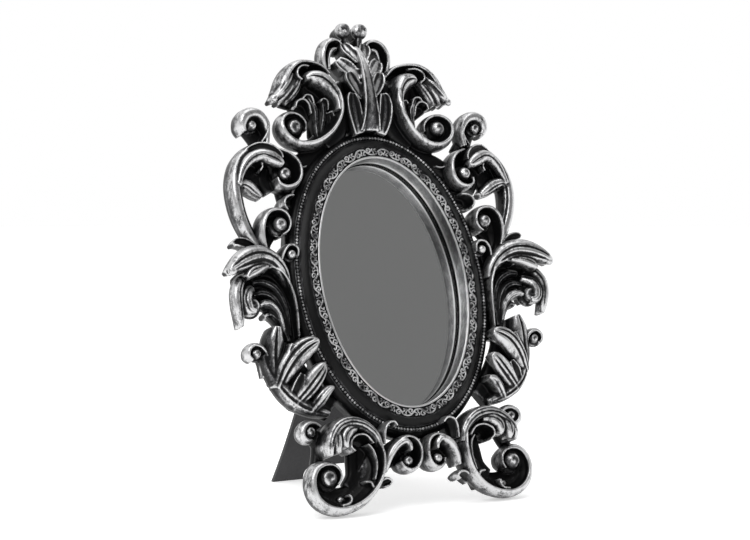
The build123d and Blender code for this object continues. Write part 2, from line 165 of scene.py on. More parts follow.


# %% [markdown]
# ## Three sections
# A *scroll* is a full, rounded wall that rises to a thin bright rim, with a dark hollow behind the
# rim. A *leaf* is a crowned band with grooves along it. A *cup* is a petal with two raised edges
# and a hollow between them. They come first, and curls, webs, beads and eyes are made from them
# or beside them. All of them are narrower at the back than in the middle of their
# depth, because the edges of the casting are rounded under. Every point of a section also says
# how much silver the brush leaves there, from 0 to 1. A leaf can also darken one side with
# painted shade.


# %% The sections
def scroll_section(side):
    """Rows are (u, v, top, outer wall, hollow). side is 1 where the hollow is on the left."""
    def section(row):
        top, wall, hollow = row[2], max(row[3], 0.5), max(row[4], 1.6)
        rim = min(0.9, hollow / 3)
        shape = [
            (-wall * 0.05, 0, 0.0),
            (-wall * 0.62, top * 0.2, 0.05),
            (-wall * 0.95, top * 0.4, 0.35),
            (-wall, top * 0.55, 0.6),
            (-wall * 0.93, top * 0.7, 0.75),
            (-wall * 0.72, top * 0.84, 0.85),
            (-wall * 0.4, top * 0.95, 0.8),
            (0, top, 1.0),
            (rim * 0.6, top - 0.15, 1.0),
            (rim, top - 1.1, 0.35),
            (rim * 1.25, top * 0.75, 0.0),
            (hollow * 0.45, top * 0.52, 0.6),
            (hollow * 0.75, top * 0.43, 1.0),
            (hollow, top * 0.38, 0.7),
            (hollow, 0, 0.0),
        ]
        return [(side * x, height, paint) for x, height, paint in shape]
    return section


UNDER = 0.55                          # width left at the back, as a share of the full width


def leaf_section(grooves, deep=None, silver=1.0, lean_to=0.0, painted_shade_side=0):
    """Rows are (u, v, top, width). deep is the thickness of a leaf that stands clear of the back.
    The last argument, 1 or -1, darkens the left or the right side with painted shade."""
    def section(row):
        top, half = row[2], max(row[3], 0.8) / 2
        low = top * 0.45 if deep is None else top - deep * 0.5
        cut = min(1.4, 0.22 * half)
        shape = []
        samples = 20
        for index in range(samples + 1):
            x = 2 * index / samples - 1
            groove = max([max(0.0, 1 - abs(x - g) / 0.17) for g in grooves] or [0.0])
            height = low + (top - low) * (1 - abs(x) ** 2.6) ** 0.5
            height += lean_to * half * x - cut * groove ** 0.8
            # painted shade: the chosen side of the leaf loses its silver, as if it lay in shade
            painted_shade = max(0.0, painted_shade_side * x) ** 1.5
            paint = silver * (1 - 0.75 * groove) * (1 - 0.35 * abs(x) ** 4) * (1 - 0.9 * painted_shade)
            shape.append((x * half, height, paint))
        base = 0.0 if deep is None else top - deep
        shape.append((half * 0.9, base + (low - base) * 0.45, 0.1 * silver))
        shape.append((half * UNDER, base, 0.0))
        shape.append((-half * UNDER, base, 0.0))
        shape.append((-half * 0.9, base + (low - base) * 0.45, 0.1 * silver))
        return shape
    return section


def cup_section(depth):
    """Rows are (u, v, top, width, heart). heart is how much silver the hollow keeps."""
    def section(row):
        top, half, heart = row[2], max(row[3], 1.2) / 2, row[4]
        edge = min(0.7, half * 0.3)
        sink = min(depth * half, 3.2)
        right = [
            (half * UNDER, 0, 0.0),
            (half * 0.92, top * 0.4, 0.15),
            (half, top * 0.8, 0.4),
            (half - edge * 0.3, top - 0.2, 1.0),
            (half - edge, top - 0.1, 1.0),
            (half - edge * 1.8, top - 0.9, heart * 0.7),
            (half * 0.45, top - sink * 0.95, heart * 1.2),
            (half * 0.2, top - sink * 0.8, heart * 1.5),
        ]
        middle = [(0, top - sink * 0.7, heart * 1.5)]
        return right + middle + [(-x, height, paint) for x, height, paint in reversed(right)]
    return section


FLUTED = (-0.5, 0.0, 0.5)
RIBBED = (-0.36, 0.36)
PLAIN = ()


def scroll(bm, rows, side, steps=6):
    travel(bm, through(rows, steps), scroll_section(side))


def leaf(bm, rows, grooves=FLUTED, deep=None, silver=1.0, lean_to=0.0, painted_shade_side=0, steps=6):
    travel(bm, through(rows, steps), leaf_section(grooves, deep, silver, lean_to, painted_shade_side))


def cup(bm, rows, root=0.25, tip=0.25, depth=0.5, steps=6):
    """root and tip are how much silver the hollow keeps at its first and last row."""
    last = len(rows) - 1
    hearted = [(*row, root + (tip - root) * index / last) for index, row in enumerate(rows)]
    travel(bm, through(hearted, steps), cup_section(depth))


def curl(bm, rows, thick=2.4):
    """The bright edge of a small lobe that turns in on itself. Rows are (u, v, top)."""
    leaf(bm, [(*row, thick) for row in rows], PLAIN)


def web(bm, rows, steps=4):
    """A low dark floor that ties the carved shapes to one another."""
    travel(bm, through(rows, steps), leaf_section(PLAIN, silver=0.0))


def bead(bm, u, v, height, radius, squash=0.9, paint=0.6, stub=True):
    """A round bud or a scroll's eye, on a short stub down to the back where it needs one."""
    rub = bm.verts.layers.float.get("rub") or bm.verts.layers.float.new("rub")
    made = bmesh.ops.create_icosphere(bm, subdivisions=3, radius=radius)["verts"]
    bmesh.ops.scale(bm, vec=(1, 1, squash), verts=made)
    bmesh.ops.translate(bm, vec=(u, v, height), verts=made)
    for vert in made:
        vert[rub] = paint if vert.co.z > height else 0.1
    if stub:
        post = bmesh.ops.create_cone(
            bm, segments=16, radius1=radius * 0.75, radius2=radius * 0.6, depth=height, cap_ends=True,
        )["verts"]
        bmesh.ops.translate(bm, vec=(u, v, height / 2), verts=post)
        for vert in post:
            vert[rub] = 0.0


def eye(bm, u, v, height, radius, side=1):
    """The middle of a scroll: a dark dome with a small bright curl wound over its top."""
    bead(bm, u, v, height, radius, paint=0.15)
    bead(bm, u, v, height * 0.7, radius * 1.45, squash=0.55, paint=0.3, stub=False)
    rows = []
    for step in range(7):
        reach, angle = 0.86 - 0.11 * step, radians(55 * step - 70)
        rows.append((u + side * reach * radius * cos(angle), v + reach * radius * sin(angle),
                     height + 0.9 * radius * sqrt(1 - reach ** 2) + 0.5))
    curl(bm, rows, 0.3 * radius)


# %% [markdown]
# ## From loose strokes to one casting
# The strokes of a piece run through one another, as a carver's clay does before it is smoothed.
# A voxel remesh keeps only the outer skin, so the piece becomes one closed surface. Its back is
# then pressed flat and its foot is cut level with the table.
#
# The silver is worked out on that skin. A point gets more where its stroke says so, where the
# skin is proud of its smoothed self, and where it stands high, which is what a nearly dry brush
# does when it is dragged over the relief.

# %% Helper: fuse the strokes
VOXEL = 0.5                           # millimetres, like every size up to the matrix
EASINGS = 2                           # passes that take the voxels' steps off the skin
SMOOTHINGS = 14                       # passes to the smoothed self
NEAREST = 3                           # stroke vertices that a point takes its paint from


def neighbour_mean(values, starts, ends, counts):
    """Mean of each vertex's neighbours, for one or more columns."""
    total = np.zeros_like(values)
    np.add.at(total, starts, values[ends])
    np.add.at(total, ends, values[starts])
    return total / counts[:, None]


def fuse(bm, name):
    """Remesh overlapping strokes to one skin, and note what decides each point's silver."""
    bmesh.ops.recalc_face_normals(bm, faces=bm.faces)
    layer = bm.verts.layers.float["rub"]
    tree = kdtree.KDTree(len(bm.verts))
    paint = []
    for index, vert in enumerate(bm.verts):
        tree.insert(vert.co, index)
        paint.append(vert[layer])
    tree.balance()
    rough = collect(bm, name + "_rough")
    remesh = rough.modifiers.new("fuse", "REMESH")
    remesh.mode = "VOXEL"
    remesh.voxel_size = VOXEL
    evaluated = rough.evaluated_get(bpy.context.evaluated_depsgraph_get())
    skin = bpy.data.meshes.new_from_object(evaluated)
    bpy.data.objects.remove(rough)

    count = len(skin.vertices)
    co = np.empty(count * 3)
    skin.vertices.foreach_get("co", co)
    co = co.reshape(-1, 3)
    pairs = np.empty(len(skin.edges) * 2, int)
    skin.edges.foreach_get("vertices", pairs)
    starts, ends = pairs.reshape(-1, 2).T
    counts = np.maximum(np.bincount(pairs, minlength=count), 1).astype(float)
    for _ in range(EASINGS):
        co = 0.5 * co + 0.5 * neighbour_mean(co, starts, ends, counts)
    co[:, 2] = np.maximum(co[:, 2], 0)

    smooth = co.copy()
    for _ in range(SMOOTHINGS):
        smooth = neighbour_mean(smooth, starts, ends, counts)
    skin.vertices.foreach_set("co", co.ravel())
    skin.update()
    normals = np.empty(count * 3)
    skin.vertices.foreach_get("normal", normals)
    normals = normals.reshape(-1, 3)
    proud = ((co - smooth) * normals).sum(1)

    near = np.empty(count)
    for index in range(count):
        hits = tree.find_n(co[index], NEAREST)
        weights = [1 / (hit[2] + 0.15) for hit in hits]
        near[index] = sum(paint[hit[1]] * w for hit, w in zip(hits, weights)) / sum(weights)
    note_heights(co)
    return {"skin": skin, "co": co, "links": (starts, ends, counts), "near": near, "proud": proud}


# %% Helper: a map of the whole relief
MAP_U, MAP_V = 140, 200               # the map's reach across and up, in millimetres
SPREAD = 3.5                          # the blur's standard deviation
relief = np.zeros((MAP_U + 1, 2 * MAP_V + 1))


def on_map(co):
    """The square millimetre of the right half that each point, or its mirror image, lies over."""
    column = np.clip(np.rint(np.abs(co[:, 0])).astype(int), 0, MAP_U)
    row = np.clip(np.rint(co[:, 1]).astype(int) + MAP_V, 0, 2 * MAP_V)
    return column, row


def note_heights(co):
    """Keep the greatest height over each square millimetre."""
    np.maximum.at(relief, on_map(co), co[:, 2])


def softened(heights):
    """The relief seen through half-closed eyes: a Gaussian blur, mirrored at the middle."""
    reach = int(3 * SPREAD)
    kernel = np.exp(-0.5 * (np.arange(-reach, reach + 1) / SPREAD) ** 2)
    kernel /= kernel.sum()
    whole = np.concatenate((heights[:0:-1], heights))
    for axis in (0, 1):
        whole = np.apply_along_axis(lambda line: np.convolve(line, kernel, "same"), axis, whole)
    return whole[len(heights) - 1:]


# %% Helper: brush the high places
OWN_PAINT = 0.55                      # weight of what the stroke itself asks for
EDGE_PAINT, EDGE_PROUD = 0.8, 0.5     # weight of an edge, and how proud a full edge stands
HIGH_PAINT, HIGH_STEP = 0.045, 8      # weight of each millimetre above the blurred relief
BARE_BACK = 0.8                       # nothing is brushed lower than this


def brush(carved, blurred):
    """Write the silver attribute from the stroke's own paint, its edges and its relief."""
    co = carved["co"]
    above = np.clip(co[:, 2] - blurred[on_map(co)], -HIGH_STEP, HIGH_STEP)
    edge = np.clip(carved["proud"] / EDGE_PROUD, -0.6, 0.6)
    silver = OWN_PAINT * carved["near"] + EDGE_PAINT * edge + HIGH_PAINT * above + 0.02
    silver = np.where(co[:, 2] < BARE_BACK, 0, silver)
    for _ in range(2):
        silver = 0.5 * silver + 0.5 * neighbour_mean(silver[:, None], *carved["links"])[:, 0]
    attribute = carved["skin"].attributes.new("silver", "FLOAT", "POINT")
    attribute.data.foreach_set("value", np.clip(silver, 0, 1))
    return carved["skin"]


# %% Helper: stand a fused skin up, and its mirrored twin
def stand_up(skin, name, body, nodes, material, mirrored=False):
    """Place a fused skin in the frame. The twin is mirrored across the middle plane."""
    bm = bmesh.new()
    bm.from_mesh(skin)
    if mirrored:
        bmesh.ops.scale(bm, vec=(-1, 1, 1), verts=bm.verts)
        bmesh.ops.reverse_faces(bm, faces=bm.faces)
    bmesh.ops.transform(bm, matrix=stand, verts=bm.verts)
    for vert in bm.verts:
        vert.co.z = max(vert.co.z, 0)
    piece = collect(bm, name)
    return hand_over(piece, body, nodes, material)


# %% Helper: a point round the oval
def around(offset, angle):
    """Point at an angle round the oval, pushed out from the sight edge by offset."""
    normal = Vector((cos(angle) / SIGHT_A, sin(angle) / SIGHT_B)).normalized()
    return Vector((SIGHT_A * cos(angle), SIGHT_B * sin(angle))) + normal * offset


# %% [markdown]
# ## Finishes
# The casting has one finish, silver rubbed over black, driven by the *silver* attribute with
# fine noise to break its edge. The moulding's rings have their own amounts of silver.


# %% Helper: nodes for a material
def new_material(name):
    material = bpy.data.materials.new(name)
    material.use_nodes = True
    nodes = material.node_tree.nodes
    return material, nodes, material.node_tree.links, nodes["Principled BSDF"]


def noise(nodes, links, scale, detail=4.0, roughness=0.55, stretch=None):
    """A noise texture on Object coordinates, in metres, stretched if asked."""
    place = nodes.new("ShaderNodeTexCoord")
    texture = nodes.new("ShaderNodeTexNoise")
    texture.inputs["Scale"].default_value = scale
    texture.inputs["Detail"].default_value = detail
    texture.inputs["Roughness"].default_value = roughness
    if stretch:
        mapping = nodes.new("ShaderNodeMapping")
        mapping.inputs["Scale"].default_value = stretch
        links.new(place.outputs["Object"], mapping.inputs["Vector"])
        links.new(mapping.outputs["Vector"], texture.inputs["Vector"])
    else:
        links.new(place.outputs["Object"], texture.inputs["Vector"])
    return texture.outputs["Fac"]


def maths(nodes, links, operation, first, second, third=None):
    """A math node on sockets or plain numbers."""
    node = nodes.new("ShaderNodeMath")
    node.operation = operation
    for socket, value in zip(node.inputs, (first, second, third)):
        if value is None:
            continue
        if isinstance(value, (int, float)):
            socket.default_value = value
        else:
            links.new(value, socket)
    return node.outputs[0]


def ramp(nodes, links, fac, low, high):
    """A smooth step from 0 to 1 between two values."""
    node = nodes.new("ShaderNodeMapRange")
    node.interpolation_type = "SMOOTHSTEP"
    node.inputs["From Min"].default_value = low
    node.inputs["From Max"].default_value = high
    links.new(fac, node.inputs["Value"])
    return node.outputs["Result"]


def blend_colour(nodes, links, fac, first, second):
    """Mix two colours, each a tuple or a socket."""
    node = nodes.new("ShaderNodeMix")
    node.data_type = "RGBA"
    links.new(fac, node.inputs["Factor"])
    for socket, value in zip((node.inputs[6], node.inputs[7]), (first, second)):
        if isinstance(value, tuple):
            socket.default_value = (*value, 1)
        else:
            links.new(value, socket)
    return node.outputs[2]


BLACK = (0.004, 0.004, 0.0043)
GREY = (0.09, 0.09, 0.093)
SILVER = (0.60, 0.60, 0.605)


# %% The rubbed silver finish
STREAKS = 1.5                         # how much the brush's streaks change the paint
PATCHES = ((110, 4.0, 0.6, 1.3), (1500, 2.0, 0.5, 0.7))  # noise scale, detail, roughness, weight


def rubbed_silver(name, amount=0.0, attribute=True, wear=1.0):
    """Silver dry-brushed over satin black. amount adds to what the attribute says, or stands in
    for it, and wear is how patchy the paint is."""
    material, nodes, links, shader = new_material(name)
    if attribute:
        carried = nodes.new("ShaderNodeAttribute")
        carried.attribute_name = "silver"
        load = maths(nodes, links, "ADD", carried.outputs["Fac"], amount)
    else:
        load = maths(nodes, links, "ADD", noise(nodes, links, 120), amount)
    streaks = noise(nodes, links, 420, 5.0, 0.65, stretch=(1.0, 1.0, 0.45))
    uneven = maths(nodes, links, "MULTIPLY_ADD", streaks, STREAKS, -STREAKS / 2)
    for scale, detail, roughness, weight in PATCHES:
        patches = noise(nodes, links, scale, detail, roughness)
        centred = maths(nodes, links, "MULTIPLY_ADD", patches, weight, -weight / 2)
        uneven = maths(nodes, links, "ADD", uneven, centred)
    load = maths(nodes, links, "MULTIPLY_ADD", maths(nodes, links, "MULTIPLY", load, wear), uneven, load)
    thin = ramp(nodes, links, load, 0.30, 0.55)
    full = ramp(nodes, links, load, 0.52, 0.95)
    shader.inputs["Specular IOR Level"].default_value = 0.16
    under = blend_colour(nodes, links, thin, BLACK, GREY)
    colour = blend_colour(nodes, links, full, under, SILVER)
    links.new(colour, shader.inputs["Base Color"])
    links.new(maths(nodes, links, "MULTIPLY", thin, 0.9), shader.inputs["Metallic"])
    grain = noise(nodes, links, 900, 3.0, 0.6)
    rough = maths(nodes, links, "MULTIPLY_ADD", grain, 0.22, 0.21)
    links.new(rough, shader.inputs["Roughness"])
    bump = nodes.new("ShaderNodeBump")
    bump.inputs["Strength"].default_value = 0.35
    bump.inputs["Distance"].default_value = 0.0003
    height = maths(nodes, links, "ADD", streaks, maths(nodes, links, "MULTIPLY", grain, 0.5))
    links.new(height, bump.inputs["Height"])
    links.new(bump.outputs["Normal"], shader.inputs["Normal"])
    return material


casting_finish = rubbed_silver("rubbed_silver")

# %% [markdown]
# ## The crest
# A tall stem with four pairs of hollow petals climbs out of the frame's top. On each side of it a
# bud, a small curled scroll, a fan of acanthus lobes, a hood and a big volute are piled up. Only
# the right half is carved, as the left is its mirror image.


# %% Carve the crest's stem
def carve_plume(bm):
    cup(bm, [(0, 109, 19, 16), (0, 118, 24, 12.6), (0, 130, 26.5, 9.6), (0, 146, 27, 7.4),
             (0, 158, 25, 6), (0, 167, 21, 4.4), (0, 173, 17, 2.5)], 0.42, 1.4, depth=0.14)
    cup(bm, [(0, 160, 19, 6), (0, 168, 17, 11), (0, 174, 15, 15.5), (0, 178, 13, 13)], 0.7, 0.1)
    lower = [(8.5, 107, 18, 8), (11, 115, 21.5, 10), (12.6, 124, 23.5, 11), (13, 131.4, 24, 9),
             (12.4, 135.4, 23.5, 5)]
    middle = [(3.5, 133, 21, 6), (8, 140, 23, 9), (11.5, 147, 23.5, 9.4), (12.5, 151.6, 23, 5)]
    upper = [(3, 147, 22, 6), (8, 152, 21.5, 9.6), (13, 158, 19.5, 11), (16.5, 162.8, 17, 7)]
    crown = [(2, 160, 21, 5), (4.5, 166, 19.5, 8.4), (7.4, 172, 17, 9.6), (8.6, 176.4, 14.5, 6)]
    petals = ((lower, 0.7, 0.2), (middle, 1.4, 0.4), (upper, 2.0, 0.6), (crown, 1.6, 0.4))
    for petal, root, tip in petals:
        for side in (1, -1):
            cup(bm, [(side * u, *rest) for u, *rest in petal], root, tip, depth=0.36)
    web(bm, [(0, 112, 12, 34), (0, 135, 12, 30), (0, 158, 10, 20), (0, 174, 9, 18)])


# %% Carve the crest's right half
def carve_bud(bm):
    leaf(bm, [(4, 172, 14, 6), (5.5, 180, 15, 7)], PLAIN, silver=0.4)
    bead(bm, 6.7, 185.8, 12.4, 5.9, paint=0.35)
    curl(bm, [(2, 186, 16), (4, 189.4, 16.6), (8, 190, 16.6), (10.6, 187, 17.4), (9.6, 184, 18),
              (7, 184.4, 18.6)], 1.7)


def carve_top_scroll(bm):
    scroll(bm, [(24.5, 156, 13, 3, 4), (26, 163, 15, 3.4, 4), (25.5, 169, 16.5, 3.5, 4.5),
                (22.5, 174.6, 17, 3.5, 5), (17.5, 177.6, 17, 3, 5), (12.6, 177.6, 16, 2, 4),
                (9.8, 175, 15, 1.4, 3)], 1)
    leaf(bm, [(21, 158, 12, 4), (20.5, 165, 12, 3), (18, 171, 14, 4), (14, 172.5, 14, 3)], PLAIN)
    web(bm, [(23, 156, 8, 6), (23, 166, 8, 6), (17, 174, 8, 8), (10, 172, 8, 6)])


def carve_crest_volute(bm):
    scroll(bm, [(27, 143, 24, 2, 3), (24, 136, 25.5, 2.6, 3), (23.5, 128, 27, 3, 4),
                (25, 120, 27.4, 3, 5), (28.5, 113, 26.5, 3.2, 6), (34, 106.6, 24.6, 3.6, 7),
                (42, 101.4, 22.5, 4, 5), (50, 99.4, 20.7, 4, 5.5), (58, 100.4, 19.6, 4, 8),
                (64.6, 104.6, 19.2, 4, 9), (68, 111, 19, 3.6, 8.5), (67.2, 117, 18.5, 3, 8),
                (62.8, 121, 17.6, 2.4, 7), (57, 122, 16.6, 1.8, 6), (51.4, 120, 15.4, 1.6, 4.6),
                (47.8, 115.6, 14, 1.4, 3.6), (48, 110.6, 12.5, 1, 2.6)], 1)
    web(bm, [(19, 146, 17, 9), (18, 132, 17, 11), (18, 119, 16, 12), (23, 109, 14, 14),
             (34, 100, 12, 12)])
    web(bm, [(26, 101, 10, 12), (40, 93, 10, 14), (54, 87, 10, 16), (63, 80, 10, 14), (66, 70, 9, 8)])
    curl(bm, [(52, 84.5, 13), (57, 83.4, 14), (62, 85.6, 14.5), (66, 90, 14)], 1.6)
    web(bm, [(56, 106, 6.5, 10), (59, 111, 6.5, 14), (58, 117, 6.5, 8)])
    eye(bm, 57.6, 112.4, 12.4, 5.8)


def carve_crest_leaves(bm):
    leaf(bm, [(45, 147.6, 19, 5), (40.5, 148.4, 22, 11), (33.5, 146, 24, 14), (28, 139.6, 25, 12),
              (25, 131, 26, 8), (25.4, 122, 26, 5)], (0.1,))
    for path in ([(39, 103, 12, 5), (39, 114, 13, 6), (39, 126, 14.5, 7), (43.5, 135, 15, 5)],
                 [(38, 103, 12, 5), (35, 113, 13.5, 6), (32.5, 123, 15, 7), (33, 131.6, 16, 5)],
                 [(37, 102, 12, 5), (31.6, 108, 13.5, 5), (28.6, 115, 15, 6), (29, 122.6, 16.5, 4)]):
        leaf(bm, path, FLUTED, silver=0.42)
    curl(bm, [(29.4, 125, 15), (30, 130.6, 17.5), (33.4, 132.6, 18), (35.6, 130.4, 17)], 1.8)
    curl(bm, [(27.5, 111, 15), (26.4, 118, 17), (28, 122.8, 17.5), (31, 122, 17)], 1.8)
    curl(bm, [(39.6, 129, 15), (41.4, 134.6, 16.5), (46, 135.4, 17), (48.4, 132.4, 16)], 1.8)
    web(bm, [(38, 106, 7, 12), (33, 120, 8, 20), (34, 135, 9, 22), (40, 146, 9, 16)])


def carve_hood(bm):
    scroll(bm, [(23, 152.6, 15, 1.2, 3), (29, 157.6, 16.5, 1.8, 5), (37, 159.8, 18, 2.2, 7),
                (45.6, 159.6, 19.4, 2.8, 7.5), (52, 156.6, 20.6, 3.6, 7.5), (57, 151.6, 20.8, 5, 7),
                (60.4, 146, 20.4, 6, 6), (63.4, 140, 19, 6, 5), (67.6, 135.4, 16, 4, 4)], -1)
    scroll(bm, [(40, 157, 17, 0.8, 2.6), (46, 156.8, 19, 1, 3), (50.6, 153.6, 20, 1.2, 3.4),
                (51.6, 149, 19.6, 1.2, 3.2), (48, 146, 18.6, 1, 2.6)], -1)
    leaf(bm, [(54, 151, 17, 6), (59, 144.6, 20, 9), (64, 138.6, 20, 9), (68.2, 134.8, 18, 6),
              (70.8, 132.8, 15.5, 3.4)], RIBBED)
    bead(bm, 70.4, 132.8, 14.2, 2.8, paint=0.4, stub=False)
    leaf(bm, [(48.5, 148, 16, 6), (52.5, 141.6, 18, 9), (57.4, 135.6, 16, 9), (60.6, 131.4, 12, 4)],
         FLUTED)
    leaf(bm, [(52, 148, 16, 6), (57, 141, 18.6, 6), (61.6, 135.6, 17, 6), (65.4, 131.4, 12, 3.4)], PLAIN)
    scroll(bm, [(41.6, 123, 13, 0.9, 2.6), (43.4, 130, 14.5, 1.1, 3.4), (47.6, 133, 15.5, 1.2, 3.6),
                (52.4, 131.4, 15, 1.2, 3.4), (54, 127.4, 14, 1, 3)], -1)
    web(bm, [(28, 151, 8, 12), (40, 152, 8, 14), (50, 144, 8, 20), (54, 137, 8, 20), (63, 134, 7, 8)])
    web(bm, [(40, 120, 7, 5), (47, 128, 7, 10), (54, 131, 7, 8)])


# %% [markdown]
# ## The shoulders and sides
# Lower down, a thick curled lobe closes the shoulder. Under it a long acanthus leaf swings out
# and back like a crescent, with its tip folded over. Three scrolls of falling size fill its inside.


# %% Carve the shoulder and the upper side
def carve_shoulder(bm):
    leaf(bm, [(80, 100, 14, 5), (78.6, 108, 15, 5), (79.6, 114.6, 17, 7), (84, 120, 18.6, 9),
              (90, 121.4, 19, 10), (95.4, 118.6, 18.6, 10), (97.4, 113, 17, 8), (95.6, 108.6, 15, 5)],
         (-0.82,), silver=0.95)
    scroll(bm, [(84, 101, 13, 0.8, 2.5), (79.6, 107, 15, 0.8, 3), (77.6, 113, 17, 0.8, 3),
                (80, 118.6, 18, 0.8, 3)], -1)
    eye(bm, 90.4, 113.4, 12.6, 3.8, -1)
    web(bm, [(79, 95, 8, 18), (84, 105, 8, 13), (90, 114, 7, 12)])


def carve_crescent(bm):
    # The crescent's inner side, towards the opening, is darkened with painted shade.
    leaf(bm, [(84, 98, 14, 5), (91, 97, 15, 7), (98.6, 92.6, 16, 8), (105, 84.6, 16.5, 9),
              (108.6, 73, 17.5, 10), (108.9, 61, 17.5, 10.4), (106.8, 49, 15.6, 10.4),
              (102.4, 38, 13.6, 10), (96.6, 28, 12.6, 8), (91, 19, 12.6, 6)], (-0.45,), lean_to=0.08,
         painted_shade_side=-1)
    leaf(bm, [(107.4, 70, 18.4, 4), (103.6, 80, 19.6, 6), (97.6, 87, 21.6, 8), (90, 89.6, 24, 9),
              (83, 87.4, 25, 10), (77.6, 84.4, 24.6, 8), (74.6, 82.6, 23.4, 4)], (0.1,), deep=9)
    cup(bm, [(97, 94, 16, 5), (90.6, 95, 19, 9), (84, 93.4, 21.6, 10.5), (78, 89.6, 23, 8),
             (75.4, 86.4, 23, 4)], 0.35)
    leaf(bm, [(109, 66, 16.5, 5), (105, 71, 17.6, 8), (99, 70.4, 16, 10), (93, 66.8, 13, 9),
              (88, 63.6, 10, 5)], (0.35,))
    curl(bm, [(100, 84.6, 17), (95, 87, 18.6), (90.6, 86, 19), (88.6, 82.8, 19), (90.4, 79.6, 18)], 2)
    web(bm, [(80, 93, 9, 10), (90, 86, 9, 18), (95, 76, 9, 20), (98, 68, 8, 10)])


def carve_inner_spiral(bm):
    scroll(bm, [(77, 96.4, 17, 1.6, 3.4), (68.4, 92.8, 19.6, 2.2, 5), (63, 87.2, 21.4, 2.6, 6),
                (61, 80.6, 22, 2.8, 6), (62, 74.2, 21.6, 2.8, 5.5), (65.8, 69.6, 21, 2.8, 5),
                (72, 67.8, 20.6, 2.4, 4.5), (77.4, 69.8, 20, 1.8, 4), (78.8, 74.6, 19, 1.2, 3)], 1)
    eye(bm, 72.2, 77.6, 16.2, 4.6)
    scroll(bm, [(67, 62.6, 17, 1.2, 2.6), (71, 62, 18.4, 1.4, 2.8), (75, 59.6, 19, 1.4, 3),
                (76.2, 55.2, 18.6, 1.4, 3), (73.8, 51.8, 17.6, 1.2, 2.4)], -1)
    web(bm, [(76, 90, 8, 12), (70, 80, 7, 15), (69, 66, 8, 13), (69, 56, 8, 10)])
    web(bm, [(82, 84, 9, 8), (84, 76, 9, 12), (80, 67, 9, 10)])


def carve_mid_volute(bm):
    scroll(bm, [(91.4, 18, 15, 1.8, 3.4), (94.4, 27, 18, 2.6, 4.4), (95.4, 36, 20, 3.2, 5.4),
                (93.6, 44.4, 21.6, 3.4, 6), (88.6, 50, 22, 3, 6), (82, 51, 21.8, 2.4, 5.4),
                (76.6, 48.4, 21, 2, 5), (74.2, 42.4, 20, 1.6, 4), (76.2, 37, 19, 1.4, 3),
                (80.4, 34.4, 17.6, 1, 2.4)], 1)
    eye(bm, 81.6, 41.4, 16.6, 5)
    web(bm, [(87, 18, 8, 10), (89.6, 29, 7, 9), (84, 42, 7, 16)])


def carve_small_scroll(bm):
    scroll(bm, [(85, 9, 14, 1.4, 3), (83.8, 17, 17, 1.6, 3.4), (82, 22, 19, 1.8, 3.6),
                (78.6, 26, 20, 1.8, 3.6), (74, 26.6, 19.6, 1.6, 3.4), (71, 23.6, 19, 1.4, 3),
                (71.4, 19, 17.6, 1, 2.4)], 1)
    eye(bm, 76, 20.6, 16, 3.2)
    web(bm, [(76, 8, 8, 12), (76, 18, 8, 10)])


# %% [markdown]
# ## The lower side
# A second acanthus leaf grows outwards and ends in a point, with two lobes turned under it.
# Below it, smaller lobes fold inwards over the moulding and a bud hangs at the side.


# %% Carve the lower side
def carve_mid_leaf(bm):
    scroll(bm, [(77.6, -36, 14, 1, 4), (77.6, -18, 17, 1.4, 5), (79.4, -4, 18, 1.6, 5),
                (84, 6.4, 19, 1.6, 5), (91, 11, 20, 1.4, 4), (98, 10.4, 20, 1.2, 3),
                (99.4, 7.6, 18.6, 1, 2)], -1)
    leaf(bm, [(80, 0, 15, 6), (84, 9, 19, 10), (91, 15.6, 22.6, 13), (99.6, 18.6, 25.6, 15),
              (108.6, 17.8, 27.6, 16), (117, 14.6, 29, 14), (124, 10.4, 29.4, 9), (127.6, 7.8, 28, 4)],
         (-0.5, 0.15), deep=15)
    bead(bm, 125.6, 7.8, 25.6, 3.2, paint=0.5, stub=False)
    leaf(bm, [(97, 12, 22, 5), (104, 9.6, 26, 7), (110.6, 7, 27, 8), (115, 3.4, 26, 4)], (0.1,), deep=12)
    leaf(bm, [(112, 6, 16, 7), (117.2, 2.4, 20, 8), (121, -5, 22, 8.6), (121.6, -14, 21.4, 8.2),
              (120.4, -22, 19, 7), (119.6, -27.6, 16, 4.4)], (-0.2,), deep=11, silver=0.85)
    leaf(bm, [(107, -1, 15, 6), (112.4, -4.6, 20, 8), (115.2, -11, 22, 8.4), (113.6, -17, 21.6, 8),
              (109, -18, 20, 5)], (0.3,), deep=11)
    eye(bm, 110.6, -13.8, 15, 5.6, -1)
    for path in ([(83, -34, 11, 5), (83, -16, 12, 6), (88, -3, 13, 7), (97, 3, 13.6, 7), (106, 3, 13, 5)],
                 [(85, -33, 11, 5), (87, -18, 12.6, 6), (92.6, -8, 13.6, 7), (100, -4.6, 14, 7),
                  (107, -6, 13.6, 5)],
                 [(84, -38, 11, 5), (89, -25, 12, 6), (94.6, -19, 12.6, 6), (99.6, -20, 12, 4)]):
        leaf(bm, path, FLUTED, silver=0.3)
    leaf(bm, [(87, -30, 12, 5), (90, -19, 14.6, 6), (95.6, -13.4, 17, 7), (101, -12.4, 18, 6),
              (104.6, -14, 18, 3.4)], RIBBED, silver=0.8)
    web(bm, [(79, -44, 8, 10), (82, -20, 9, 14), (92, -4, 9, 26), (104, 4, 9, 22), (116, 2, 8, 12)])


def carve_side_bud(bm):
    cup(bm, [(98, 20, 12, 7), (102, 26, 13, 8), (107, 30, 13.5, 7.5), (112.4, 31.2, 13, 6),
             (115, 30, 12, 3.6)], 0.25)


def carve_small_ball(bm):
    scroll(bm, [(101.6, -60, 12.6, 1.4, 4), (102.6, -48, 14, 2, 4.4), (106, -42, 15, 2.6, 4.6),
                (111.4, -40, 15.4, 2.6, 4.6), (115.4, -42.6, 15, 2.8, 4.6), (116, -46.6, 14, 2.4, 4),
                (113, -49.4, 13, 1.8, 3)], -1)
    eye(bm, 110.4, -45.4, 10.8, 3.6, -1)


